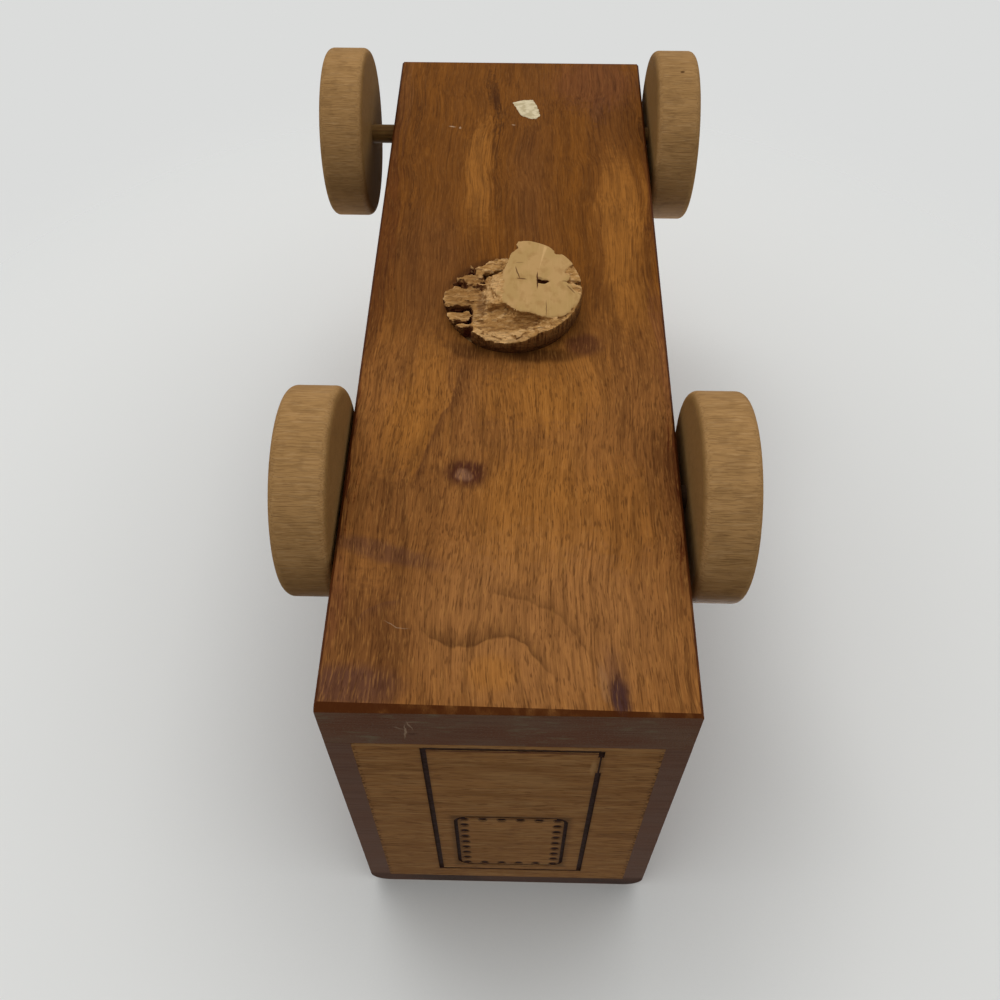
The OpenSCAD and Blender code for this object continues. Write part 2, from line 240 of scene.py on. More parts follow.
def stained(tree, colour, place, stains, where=None, soft=0.6):
    """Lays oval stains over a colour: middle, size, tone, strength and, if it has one, turn."""
    for centre, size, tone, strength, *turn in stains:
        mask = both(tree, oval(tree, place, centre, size, *turn, soft=soft), where)
        colour = tint(tree, colour, mask, tone, strength)
    return colour


def growth_rings(tree, place, axis, spacing, middle, lean, waves, early):
    """Growth rings spacing mm apart about an axis that leans, in waves of some height and
    detail: 0 over the early share of a ring, and rising to 1 at its late line."""
    lean = tuple(math.radians(angle) for angle in lean)
    inputs = {"Vector": place, "Location": middle, "Rotation": lean, "Scale": (RING / spacing,) * 3}
    inputs = {"Vector": add(tree, "Mapping", inputs), "Scale": 1, "Detail": 2}
    inputs["Distortion"], inputs["Detail Scale"] = waves
    settings = {"wave_type": "RINGS", "rings_direction": axis, "wave_profile": "SAW"}
    rings = add(tree, "TexWave", inputs, out="Fac", **settings)
    return add(tree, "MapRange", rings, early, 1)


def wavering(tree, place, size, amount, seed=0):
    """The place pushed about by up to amount mm on each axis, in waves about size mm long."""
    moved = add(tree, "VectorMath", place, (seed,) * 3, operation="ADD")
    inputs = {"Vector": moved, "Scale": 1 / size, "Detail": 2}
    noise = add(tree, "TexNoise", inputs, out="Color")
    swing = add(tree, "VectorMath", noise, (0.5,) * 3, operation="SUBTRACT")
    push = tuple(2 * a for a in amount)
    return add(tree, "VectorMath", swing, push, place, operation="MULTIPLY_ADD")


def distance(tree, place, middle=(0, 0, 0), scale=(1, 1, 1)):
    """How far a place is from a middle, with every axis counted by its scale."""
    moved = add(tree, "VectorMath", place, middle, operation="SUBTRACT")
    scaled = add(tree, "VectorMath", moved, scale, operation="MULTIPLY")
    return add(tree, "VectorMath", scaled, out="Value", operation="LENGTH")


def facing(tree, axis, low=0.75, high=0.95, either=True):
    """1 where the object's surface faces along the given axis, either way or just that way."""
    normal = add(tree, "TexCoord", out="Normal")
    along = add(tree, "VectorMath", normal, axis, out="Value", operation="DOT_PRODUCT")
    if either:
        along = add(tree, "Math", along, operation="ABSOLUTE")
    return add(tree, "MapRange", along, low, high)


def along_axis(tree, place, axis, low, high, **blend):
    """Runs from 0 to 1 as the place goes from low to high along an axis: 0 is x, 1 y and 2 z."""
    part = add(tree, "SeparateXYZ", place).node.outputs[axis]
    return add(tree, "MapRange", part, low, high, **blend)


def trace(tree, place, points, spread, along=0):
    """A growth line across the underside through points that follow each other along one axis:
    sharp on one side, and fading out over spread mm on the other (negative: the lower side)."""
    lows = [min(p[i] for p in points) for i in (0, 1)]
    highs = [max(p[i] for p in points) for i in (0, 1)]
    axes = add(tree, "SeparateXYZ", place).node.outputs
    side = 1 - along
    share = add(tree, "MapRange", axes[along], lows[along], highs[along])
    curve = add(tree, "FloatCurve", {"Value": share})
    line = curve.node.mapping.curves[0]
    spots = sorted(
        tuple((p[i] - lows[i]) / (highs[i] - lows[i]) for i in (along, side)) for p in points
    )
    line.points[0].location, line.points[1].location = spots[0], spots[-1]
    for spot in spots[1:-1]:
        line.points.new(*spot)
    curve.node.mapping.update()
    centre = add(tree, "MapRange", curve, 0, 1, lows[side], highs[side])
    away = add(tree, "Math", axes[side], centre, operation="SUBTRACT")
    sharp = math.copysign(0.8, -spread)
    fade = add(tree, "MapRange", away, spread, 0)
    fade = both(tree, fade, fade)
    edge = add(tree, "MapRange", away, sharp, 0, **SMOOTH)
    # The line fades in over its first seventh and out over its last
    ends = add(tree, "Math", share, 0.5, operation="SUBTRACT")
    ends = add(tree, "Math", ends, operation="ABSOLUTE")
    ends = add(tree, "MapRange", ends, 0.5, 0.36)
    return both(tree, both(tree, fade, edge), ends)


def past_box(tree, place, low, high):
    """How far in mm a place lies outside the box between two corners; negative inside it."""
    low, high = Vector(low), Vector(high)
    moved = add(tree, "VectorMath", place, (low + high) / 2, operation="SUBTRACT")
    size = add(tree, "VectorMath", moved, operation="ABSOLUTE")
    past = add(tree, "VectorMath", size, (high - low) / 2, operation="SUBTRACT")
    axes = add(tree, "SeparateXYZ", past).node.outputs
    most = add(tree, "Math", axes["X"], axes["Y"], operation="MAXIMUM")
    return add(tree, "Math", most, axes["Z"], operation="MAXIMUM")


def window(tree, place, low, high):
    """1 inside the box between two corners."""
    past = past_box(tree, place, low, high)
    return add(tree, "Math", past, 0, operation="LESS_THAN")


def sunk(tree, place, outward, offset):
    """1 below a flat face, from about 0.12 mm under it: the floors and walls of burnt lines."""
    height = add(tree, "VectorMath", place, outward, out="Value", operation="DOT_PRODUCT")
    depth = add(tree, "Math", offset, height, operation="SUBTRACT")
    return add(tree, "MapRange", depth, 0.08, 0.16)


def frame_line(tree, place, low, high, reach):
    """1 on the outline of a rectangle on the rear face, fading out over reach mm each way."""
    far = 1e3
    past = past_box(tree, place, (low[0], -far, low[1]), (high[0], far, high[1]))
    away = add(tree, "Math", past, operation="ABSOLUTE")
    return add(tree, "MapRange", away, reach, 0.2, **SMOOTH)


def paint(material, *nodes):
    """Gives a material to CAD nodes, through their objects' slots."""
    for name in nodes:
        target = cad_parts[name]
        target.data.materials.clear()
        target.data.materials.append(material)


def ease(width, *nodes):
    """Softens the sharp edges of CAD nodes over a width in metres, as sanding and lacquer do."""
    for name in nodes:
        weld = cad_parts[name].modifiers.new("weld", "WELD")
        weld.merge_threshold = 0.002 * MM
        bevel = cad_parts[name].modifiers.new("ease", "BEVEL")
        bevel.width = width
        bevel.segments = 2
        bevel.angle_limit = CREASE
        bevel.harden_normals = True


def select_only(*pieces):
    """Selects the given pieces and nothing else, and makes the first one active."""
    bpy.ops.object.select_all(action="DESELECT")
    for piece in pieces:
        piece.select_set(True)
    bpy.context.view_layer.objects.active = pieces[0]


def change(piece, kind, **settings):
    """Adds a modifier with its settings and applies it."""
    select_only(piece)
    modifier = piece.modifiers.new(kind.lower(), kind)
    for setting, value in settings.items():
        setattr(modifier, setting, value)
    bpy.ops.object.modifier_apply(modifier=modifier.name)


def turn_outwards():
    """Turns all faces of the piece in edit mode outwards, and leaves edit mode."""
    bpy.ops.mesh.select_all(action="SELECT")
    bpy.ops.mesh.normals_make_consistent(inside=False)
    bpy.ops.object.mode_set(mode="OBJECT")


def plate(outline, low, high, axis=2):
    """A plate with the given outline, between two places along its axis."""
    bpy.ops.object.select_all(action="DESELECT")
    bpy.ops.mesh.primitive_circle_add(vertices=len(outline), fill_type="NGON")
    piece = bpy.context.object
    for vertex, corner in zip(piece.data.vertices, outline):
        spot = list(corner)
        spot.insert(axis, low)
        vertex.co = spot
    push = Vector((0, 0, 0))
    push[axis] = high - low
    bpy.ops.object.mode_set(mode="EDIT")
    bpy.ops.mesh.extrude_region_move(TRANSFORM_OT_translate={"value": push})
    turn_outwards()
    return piece


def turned_plug(rings):
    """A round plug through rings of the given radius and height, closed at both ends."""
    bpy.ops.object.select_all(action="DESELECT")
    radius, height = rings[0]
    place = (0, 0, height)
    bpy.ops.mesh.primitive_circle_add(vertices=96, radius=radius, location=place, fill_type="NGON")
    piece = bpy.context.object
    select_only(piece)
    bpy.ops.object.transform_apply(location=True)
    bpy.ops.object.mode_set(mode="EDIT")
    for (before, start), (after, end) in zip(rings, rings[1:]):
        rise = (0, 0, end - start)
        bpy.ops.mesh.extrude_region_move(TRANSFORM_OT_translate={"value": rise})
        share = after / before
        bpy.ops.transform.resize(value=(share, share, 1), center_override=(0, 0, end))
    turn_outwards()
    return piece


def cut(piece, operation, tool):
    """Cuts a piece with a tool, and throws the tool away."""
    change(piece, "BOOLEAN", operation=operation, object=tool, solver="EXACT", use_self=True)
    bpy.data.objects.remove(tool)


def mark(piece, name, chosen):
    """A vertex group of the points that a test chooses by their place."""
    group = piece.vertex_groups.new(name=name)
    group.add([v.index for v in piece.data.vertices if chosen(v.co)], 1, "REPLACE")
    return name


def roughen(piece, group, direction, size, depth, stretch=1, detail=2):
    """Pushes a group's points about by up to depth, in lumps of the given size."""
    texture = bpy.data.textures.new("lumps", "CLOUDS")
    texture.noise_scale = size
    texture.noise_depth = detail
    guide = bpy.data.objects.new("guide", None)
    guide.scale = (stretch, 1, 1)
    guide.location = (7.3 * size, 3.1 * depth, 5.7)
    bpy.context.collection.objects.link(guide)
    bpy.context.view_layer.update()
    change(
        piece,
        "DISPLACE",
        texture=texture,
        texture_coords="OBJECT",
        texture_coords_object=guide,
        direction=direction,
        strength=2 * depth,
        mid_level=0.5,
        vertex_group=group,
    )
    bpy.data.objects.remove(guide)
    bpy.data.textures.remove(texture)


# The middle of the cork's hole on the truck, and how far the cork's flat end stands out. Its
# parts are in mm from that middle: across, lengthwise and up from the underside.
CORK_MIDDLE = (-1, -131.5, 0)
CORK_TOP = 9
# Above this height nothing is roughened, so the cork stays clear of its hole
CORK_LIP = -0.6
# The outer wall: how far from the cork's axis it begins, and where across it becomes sound
CORK_WALL = 19.4
CORK_SOUND = 3
# How far its parts reach up into the plug, and the square blank that the plug is cut from
CORK_ROOT = 2.8
CORK_BLANK = ((-21, -21), (21, -21), (21, 21), (-21, 21))
# Voxels of the cork before and after it is roughened, and the most triangles that it may have
CORK_VOXELS = (0.35, 0.3)
CORK_TRIANGLES = 90000
# Radius and height of the whole plug, from inside the truck outwards
CORK_RINGS = ((17.25, 18), (18.95, 0), (20.6, -3), (20.6, -8.5), (20.2, -9))
# What is left of the flat outer end
CORK_CROWN = (
    (0.9, -18.2), (1.5, -19.9), (6.5, -19.8), (9.9, -18.2), (11.9, -16.2), (12.6, -13.6),
    (14.8, -14), (17, -12.6), (18.3, -10.8), (17.9, -9.2), (15.7, -7.3), (15.5, -5.9), (16.7, -4.9),
    (17.1, -2.5), (16.2, -1.6), (17.6, -0.6), (18.3, 1.8), (20.3, 3.9), (20.2, 6.1), (18.6, 8),
    (17.1, 9.4), (16.7, 10.9), (14.7, 12.3), (12.3, 12.8), (10.4, 13.5), (8, 12.8), (6.8, 13.5),
    (5.6, 12.3), (3.7, 11.8), (1.8, 12.1), (0, 11.1), (-1.3, 9.9), (-1.5, 7), (-2.4, 3.2),
    (-2.4, -4.4), (-2, -9.2), (-1.3, -11.6), (-0.6, -14), (0.9, -15.9), (1.8, -17.1),
)
# The slope beside the crown and the ledge at the rear: where each starts and ends lengthwise,
# and its outline across and up
CORK_STEPS = (
    (-6.5, 7.2, (-2, -9), (-4.5, -8.3), (-7, -6.4), (-8.6, -4.6), (-8.6, 3), (-2, 3)),
    (
        4, 21, (-11.7, 3), (-11.7, -4.2), (-2, -5.4), (4, -6.4), (9, -8.1), (21, -8.4), (21, 3),
    ),
)
# Broken blocks on the other side: how far they stand out, and their outline
CORK_BLOCKS = (
    (
        4.7, (-11.5, -11.6), (-8.7, -13.9), (-5, -16), (-2, -17.2), (-0.5, -14), (-2, -11.5),
        (-3.9, -11.6), (-6.8, -10), (-11.3, -9.9),
    ),
    (4.6, (-15.6, -8.6), (-13, -9.9), (-9.2, -9.7), (-9, -6), (-12, -5.4), (-15.2, -6)),
    (3.2, (-17, -5.6), (-9.6, -5.2), (-9.2, -3.6), (-16.4, -3.8)),
    (
        4.3, (-20.6, -1.5), (-17.5, -3.6), (-12, -3.2), (-8.7, -2.6), (-8.6, 3.2), (-13, 4),
        (-20.6, 3.6),
    ),
    (4, (-19.6, 6.6), (-13, 6.2), (-12.4, 8), (-13, 9.8), (-19, 9.6)),
    (3.5, (-16, 11.2), (-10.6, 10.9), (-10.8, 12.3), (-16, 12.6)),
    (8.1, (13, -12.5), (21, -12.5), (21, 6), (13, 6)),
)
# Hollows broken out of the crown's rear wall and the ledge: middle and half sizes
CORK_SCOOPS = (
    ((-3.5, 11, -7.6), (4.6, 3.2, 2.6)),
    ((2.5, 13.4, -7.4), (6.5, 2.6, 2.8)),
    ((9.5, 15, -8.8), (2.6, 1.6, 1.6)),
)
# Two holes torn in the crown
CORK_SLOTS = (
    ((7.3, -2.7), (9.6, -2.5), (11.3, -1.9), (9.8, -0.9), (7.3, -0.9)),
    ((18, -2.8), (21, -2.9), (21, -0.6), (18.3, -0.9)),
)
# Cracks in the flat end. As for every stain: its middle on the truck, size, tone and
# strength, and its turn in degrees if it has one.
CORK_CRACKS = (
    ((6.3, -133.6), (0.6, 8.5), "cork_red", 0.9),
    ((6.9, -134.6), (2.4, 1.2), "cork_red", 0.4, 20),
    ((0.4, -136.8), (0.5, 6.5), "cork_red", 0.75, -14),
    ((1.6, -134.1), (3.6, 0.7), "cork_red", 0.7, 8),
    ((8.9, -121.8), (0.35, 7.5), "cork_red", 0.6),
    ((1, -141.2), (3, 0.5), "cork_red", 0.35),
    ((15.3, -133.3), (4.2, 0.6), "cork_red", 0.6),
    ((15.8, -139), (3.4, 0.8), "cork_red", 0.45, -30),
    ((16.2, -129.8), (0.6, 5), "cork_red", 0.55, -35),
)
# Broad tones of the broken part; the brown patch along the hollow behind the crown is partly the
# cork's own brown, partly painted shade
CORK_PATCHES = (
    ((-15.5, -133), (15, 30), "cork_brown", 0.6),
    ((-10, -127), (4, 14), "cork_red", 0.5),
    ((-7, -131.5), (8, 15), "cork_light", 0.45),
    ((-2, -118.2), (24, 7.5), "cork_brown", 0.5),
    ((-4.5, -113.5), (22, 6), "cork_light", 0.4, 8),
)
# Where crumbs stand: how many, and the limits across, lengthwise, outwards and of their size
CORK_CRUMBS = (
    (26, (-19.5, -9), (-13.5, 4.5), (2.2, 5.2), (1.2, 3.4), (0.6, 1.4)),
    (10, (-19.5, -9.5), (5, 13), (1.8, 4.4), (1.2, 3), (0.5, 1.2)),
    (6, (-6.5, -2.5), (-6, 7), (6.5, 8.4), (0.8, 2.4), (0.8, 2.4)),
    (20, (-11.5, 2), (16, 19.5), (5, 6.8), (0.8, 3.2), (0.6, 1.6)),
    (12, (2, 12), (16.5, 19), (6.8, 8.6), (0.8, 2.4), (0.6, 1.6)),
)


def crumbled_cork(crumb_depth):
    """The cork: a flat crown on a plug, with layers, a ledge and crumbs where it broke. The
    broken faces rise and fall by up to crumb_depth mm."""
    dice = random.Random(5)
    parts = [plate(CORK_BLANK, CORK_ROOT - 1.2, 19), plate(CORK_CROWN, -CORK_TOP, CORK_ROOT)]
    for start, end, *outline in CORK_STEPS:
        parts.append(plate(outline, start, end, axis=1))
    for out, *outline in CORK_BLOCKS:
        parts.append(plate(outline, -out, CORK_ROOT))
    for count, across, along, out, long, wide in CORK_CRUMBS:
        for _ in range(count):
            reach = dice.uniform(*out)
            middle = (dice.uniform(*across), dice.uniform(*along), (CORK_ROOT - reach) / 2)
            turn = [dice.uniform(-limit, limit) for limit in (0.2, 0.2, 0.5)]
            size = (dice.uniform(*long), dice.uniform(*wide), CORK_ROOT + reach)
            bpy.ops.mesh.primitive_cube_add(size=1, location=middle, rotation=turn, scale=size)
            parts.append(bpy.context.object)
    select_only(*parts)
    bpy.ops.object.join()
    cork = bpy.context.object
    cork.name = "crumbled_cork"
    bpy.ops.object.transform_apply(location=True, rotation=True, scale=True)
    cut(cork, "INTERSECT", turned_plug(CORK_RINGS))
    for middle, size in CORK_SCOOPS:
        bpy.ops.mesh.primitive_uv_sphere_add(
            segments=32, ring_count=16, location=middle, scale=size
        )
        cut(cork, "DIFFERENCE", bpy.context.object)
    for slot in CORK_SLOTS:
        cut(cork, "DIFFERENCE", plate(slot, -10, -6.4))
    change(cork, "REMESH", mode="VOXEL", voxel_size=CORK_VOXELS[0])

    def loose(co):
        """Broken sides and edges, away from the hole and from the sound wall on the right."""
        inside = math.hypot(co.x, co.y) < CORK_WALL
        return co.z < CORK_LIP and (co.x < CORK_SOUND or inside)

    def broken(co):
        """The broken faces between the hole and the flat end, inside the outer wall."""
        inside = math.hypot(co.x, co.y) < CORK_WALL + 0.8
        return 0.4 - CORK_TOP < co.z < CORK_LIP and inside

    sides = mark(cork, "sides", loose)
    roughen(cork, sides, "X", 1.8, 0.9)
    roughen(cork, sides, "Y", 1.5, 0.7, stretch=2)
    faces = mark(cork, "faces", broken)
    roughen(cork, faces, "Z", 1.7, crumb_depth, stretch=2.2)
    change(cork, "REMESH", mode="VOXEL", voxel_size=CORK_VOXELS[1])
    crumbs = mark(cork, "crumbs", broken)
    roughen(cork, crumbs, "NORMAL", 0.7, 0.25, detail=3)
    count = len(cork.data.loop_triangles)
    if count > CORK_TRIANGLES:
        change(cork, "DECIMATE", ratio=CORK_TRIANGLES / count)
    cork.vertex_groups.clear()
    place = Matrix.Translation(DATUM + Vector(CORK_MIDDLE) * MM) @ Matrix.Scale(MM, 4)
    cork.data.transform(place)
    select_only(cork)
    bpy.ops.object.shade_smooth_by_angle(angle=CREASE)
    return cork


# The scrap of paper: its corners on the truck
SCRAP_OUTLINE = (
    (-2.4, -237), (1.2, -238.6), (4.9, -238.8), (6.4, -234.6), (7.4, -229.2), (5.6, -227.2),
    (3.4, -227.8), (0.6, -229.4), (-0.8, -233),
)


def cream_paper():
    """Rag paper, torn and rubbed: cream, mottled with grime that the fibres have caught."""
    material, tree, place = new_material("rag_paper")
    grime = (1.6, 2.4, 0.4, 0.66, 3)
    fibre = (0.4, 1.6, 0.5, 0.7, 5)
    layers = ((grime, "paper_grey", 0.7), (fibre, "worn", 0.15))
    colour = grain(tree, "paper", place, layers, along=0)
    relief = streaks(tree, place, *fibre, along=0)
    surface(tree, colour, relief, 0.05, roughness=0.8, Specular_IOR_Level=0.1)
    return material


def natural_cork(woods):
    """Natural cork, cut across its bark: a smooth grey-yellow flat end with fine lines, and crumbly
    golden broken sides with reddish brown hollows. Painted highlights lighten its sharp edges, and
    painted shade darkens its hollows, deep places, steep walls and the foot of its outer wall."""
    material, tree, place = new_material("natural_cork")
    # Painted highlight: sharp edges and ridges are lightened where the mesh is pointed
    edge = add(tree, "NewGeometry", out="Pointiness")
    edge = add(tree, "MapRange", edge, 0.53, 0.62)
    level = facing(tree, (0, 0, 1), 0.45, 0.75)
    bent = wavering(tree, place, 2, (0.25, 0.25, 0), seed=6)
    # The flat end, with its clouds, fine lines, scuffs and cracks
    cloud = (5, 8, 0.4, 0.6, 2)
    line = (0.5, 9, 0.5, 0.75, 5)
    scuff = (2.4, 3.4, 0.5, 0.72, 3)
    layers = ((cloud, "cork_green", 0.5), (line, "cork_pale", 0.22), (scuff, "cork_brown", 0.3))
    top = grain(tree, woods.cork, place, layers)
    top = tint(tree, top, edge, "cork_light", 0.4)
    top = stained(tree, top, bent, CORK_CRACKS, soft=0.4)
    # Broken tops: lumps, sparks of fresh cork, and gaps between the layers painted dark red: partly
    # the cork's own colour, partly painted shade in the gaps
    lump = (0.7, 2, 0.3, 0.7, 1)
    spark = (0.8, 2.6, 0.46, 0.7, 8)
    layers = ((lump, "cork_brown", 0.6), (spark, "cork_light", 0.6))
    rough = grain(tree, "cork_gold", place, layers, along=0)
    gap = streaks(tree, bent, 0.9, 6.5, 0.57, 0.64, seed=17, along=0)
    rough = tint(tree, rough, gap, "cork_red", 0.5)
    rough = stained(tree, rough, bent, CORK_PATCHES)
    rough = tint(tree, rough, edge, "cork_light", 0.45)
    # Steep walls, painted browner than the tops: partly the cork's own brown, partly painted shade;
    # redder at the crumbled side
    smear = (0.8, 5, 0.4, 0.65, 4)
    wall = grain(tree, "cork_brown", place, ((smear, "cork_gold", 0.5),), along=0)
    wall = tint(tree, wall, along_axis(tree, place, 0, -8.5, -10.5), "cork_red", 0.75)
    rough = tint(tree, wall, level, rough)
    # Painted shade: hollows found by ambient occlusion, and the deep places near the wood, are
    # darkened to dark red
    hollow_shade = add(tree, "AmbientOcclusion", {"Distance": 3 * MM}, out="AO", samples=8, only_local=True)
    dark = add(tree, "MapRange", hollow_shade, 0.66, 0.36)
    rough = tint(tree, rough, dark, "cork_red", 0.95)
    rough = tint(tree, rough, along_axis(tree, place, 2, -3.6, -1.8), "cork_red", 0.85)
    # The outer wall with its upright fibres, dark brown, and darkened towards the wood with painted
    # shade
    fibre = (0.6, 5, 0.45, 0.62, 7)
    bark = grain(tree, "cork_brown", place, ((fibre, "cork_bark", 0.8),), along=2)
    bark = tint(tree, bark, along_axis(tree, place, 2, -8, -4), "cork_bark", 0.7)
    outer = add(tree, "MapRange", distance(tree, place, CORK_MIDDLE, (1, 1, 0)), 18.9, 19.6)
    upright = add(tree, "Math", 1, level, operation="SUBTRACT")
    rough = tint(tree, rough, both(tree, outer, upright), bark)
    # The sound plug inside the hole, with its long dark pores
    sound = grain(tree, woods.cork, place, ((cloud, "cork_gold", 0.6),))
    sound = grain(tree, sound, place, ((lump, "cork_brown", 0.35),), along=0)
    pores = flecks(tree, place, 3, 7, 0.5, width=0.22, along=0)
    sound = tint(tree, sound, pores, "cork_bark", 0.7)
    rough = tint(tree, rough, along_axis(tree, place, 2, 0.4, 1.6), sound)
    flat = along_axis(tree, place, 2, -8.6, -8.85)
    colour = tint(tree, rough, flat, top)
    lumps = streaks(tree, place, *lump, along=0)
    relief = add(tree, "Math", lumps, gap, operation="SUBTRACT")
    relief = add(tree, "Math", relief, flat, operation="SUBTRACT", use_clamp=True)
    surface(tree, colour, relief, 0.2, roughness=0.8, Specular_IOR_Level=0.05)
    return material


# Broad stains of the underside; their sizes are width and length in mm
BASE_STAINS = (
    ((-13, -198), (12, 78), "golden", 0.7),
    ((33, -172), (19, 98), "golden", 0.75),
    ((-41, -238), (5, 62), "amber", 0.4),
    ((28, -250), (44, 46), "russet", 0.55),
    ((-30, -150), (36, 74), "brown", 0.5),
    ((3, -190), (14, 90), "brown", 0.35),
    ((-45, -180), (14, 210), "red_brown", 0.75),
    ((45, -186), (11, 80), "red_brown", 0.6),
    ((-26, -95), (19, 62), "golden", 0.55),
    ((42, -115), (6, 72), "russet", 0.5),
    ((5, -58), (44, 62), "golden", 0.6),
    ((-31, -84), (19, 40), "golden", 0.45),
    ((-36, -55), (18, 34), "brown", 0.45),
    ((14, -102), (34, 46), "golden", 0.5),
    ((3, -94), (40, 28), "golden", 0.6),
    ((34, -138), (18, 52), "golden", 0.45),
    ((24, -20), (30, 36), "amber", 0.5),
    ((8, -24), (84, 70), "sand", 0.35),
    ((45, -66), (15, 56), "red_brown", 0.7),
    ((-38, -18), (44, 48), "brown", 0.75),
    ((29, -56), (24, 44), "golden", 0.4),
    ((-9, -243), (5, 42), "umber", 0.5, -12),
    ((-7.6, -222), (2.6, 66), "umber", 0.55),
    ((-5.5, -190), (2.5, 50), "umber", 0.4),
    ((-35.7, -205), (1.8, 120), "umber", 0.45),
    ((30, -231), (7, 24), "purple", 0.25, 6),
    ((44, -220), (5, 28), "umber", 0.6),
    ((-44.4, -70), (4.5, 76), "red_edge", 0.85),
    ((44.5, -84), (5, 26), "red_edge", 0.7),
    ((44.8, -52), (3.5, 54), "red_edge", 0.7),
)
# Marks with smoother edges: painted shade of the cork round its hole, purple clouds, the knot and the
# dark heart that runs out at the rear
BASE_MARKS = (
    # The first four marks are painted shadow and shade of the cork on the wood round its hole, partly
    # a dark stain
    ((20, -116), (15, 13), "knot", 0.7),
    ((7, -111.5), (30, 8), "umber", 0.75),
    ((-14, -113), (18, 9), "umber", 0.6, 25),
    ((-13, -147), (26, 8), "umber", 0.6, -38),
    ((-32, -43), (40, 8), "purple", 0.45, 16),
    ((-37, -6), (34, 15), "purple", 0.6),
    ((-44, -30), (10, 40), "russet", 0.5),
    ((-4, -10), (16, 13), "golden", 0.5),
    ((-12.3, -68.4), (17, 14), "brown", 0.6),
    ((-12.3, -68.4), (14, 11.5), "knot", 0.9),
    ((-13, -67.4), (6, 5), "blush", 0.75, 25),
    ((22, -7.5), (3, 14), "pale", 0.1, -10),
    ((24.8, -9), (8, 24), "purple", 0.35, -10),
    ((25.6, -3.5), (5.6, 19), "heart", 0.85, -8),
)
# Growth lines of the underside: their points, fade in mm, the axis that they follow, tone and
# strength
BASE_LINES = (
    (((-14.5, -112), (-16.5, -97), (-20, -87), (-27, -61)), 6, 1, "brown", 0.9),
    (((-38, -21.5), (-32.7, -27), (-26.3, -29)), 4, 0, "purple", 0.25),
    (
        (
            (-22.7, -23.4), (-13.6, -17), (-9, -17), (-4.5, -19.3), (0, -19.7), (6.4, -14.3),
            (11.9, -7.9),
        ),
        -7, 0, "umber", 0.6,
    ),
    (((-6, -32), (6.4, -28.8), (11.9, -25.2), (18.2, -16), (21, -7)), -5, 0, "umber", 0.35),
)
# Scratches and grey patches on the rear end of the base board, across and up
END_MARKS = (
    ((-24.3, 11.5), (0.6, 11), "pale", 0.5, 6),
    ((-23, 8), (0.5, 7), "pale", 0.4, -14),
    ((-25.6, 9.5), (4, 0.6), "pale", 0.3, 24),
    ((-22.2, 6), (5, 0.6), "pale", 0.35, -8),
    ((-22.5, 12.5), (4, 1.4), "umber", 0.6, -6),
)
# Specks of glue and a scratch in the lacquer
BASE_SPECKS = (
    ((-23.4, -222.3), (3.2, 1), "pale", 0.75, 4),
    ((-20.7, -221.7), (0.9, 1.6), "pale", 0.6),
    ((-2, -223.9), (2.4, 0.8), "pale", 0.6, 20),
    ((-27.5, -22), (8, 0.35), "pale", 0.35, 12),
)


def drifting(tree, place):
    """The place with the grain's slow lean and waver along the board."""
    slow = wavering(tree, place, 60, (4.5, 0, 4.5))
    return wavering(tree, slow, 18, (0.4, 0, 0.4), seed=31)


def fine_grain(tree, colour, place, coarse, deep):
    """Fibres, lines, strokes and pores laid over a board's colour; coarse is where they stand
    out. Returns the colour and the fibres."""
    patch = (2.6, 22, 0.4, 0.66, 2.2)
    fibre = (0.36, 18, 0.36, 0.72, 1.3)
    line = (0.6, 70, 0.56, 0.68, 5.7, 1)
    layers = ((patch, deep, 0.26), (fibre, deep, 0.3), (line, deep, 0.32))
    colour = grain(tree, colour, place, layers)
    shine = (0.4, 4.5, 0.5, 0.72, 4.4)
    stroke = (0.4, 3.6, 0.56, 0.68, 8.2, 1)
    layers = ((shine, "shine", 0.26), (stroke, deep, 0.45))
    colour = grain(tree, colour, place, layers, where=coarse)
    pores = flecks(tree, place, 1.2, 5, 0.3, width=0.14)
    return tint(tree, colour, pores, deep, 0.5), streaks(tree, place, *fibre)


def walnut_ground(tree, place, light, deep):
    """Broad soft bands and narrow darker bands along a board."""
    broad = (14, 190, 0.36, 0.64, 3.1)
    narrow = (3.2, 90, 0.45, 0.72, 7.7)
    return grain(tree, light, place, ((broad, "brown", 0.3), (narrow, deep, 0.18)))


def end_grain(tree, colour, place, ends, tone, deep, pale):
    """Cut ends of a board, which drink lacquer: dull and purplish, with dotted pores."""
    cloudy = (9, 24, 0.35, 0.65, 5)
    sawn = (0.7, 18, 0.42, 0.68, 6)
    tone = grain(tree, tone, place, ((cloudy, pale, 0.35), (sawn, deep, 0.3)), along=0)
    dots = (0.6, 0.6, 0.5, 0.68, 9)
    return tint(tree, colour, ends, grain(tree, tone, place, ((dots, pale, 0.3),)))


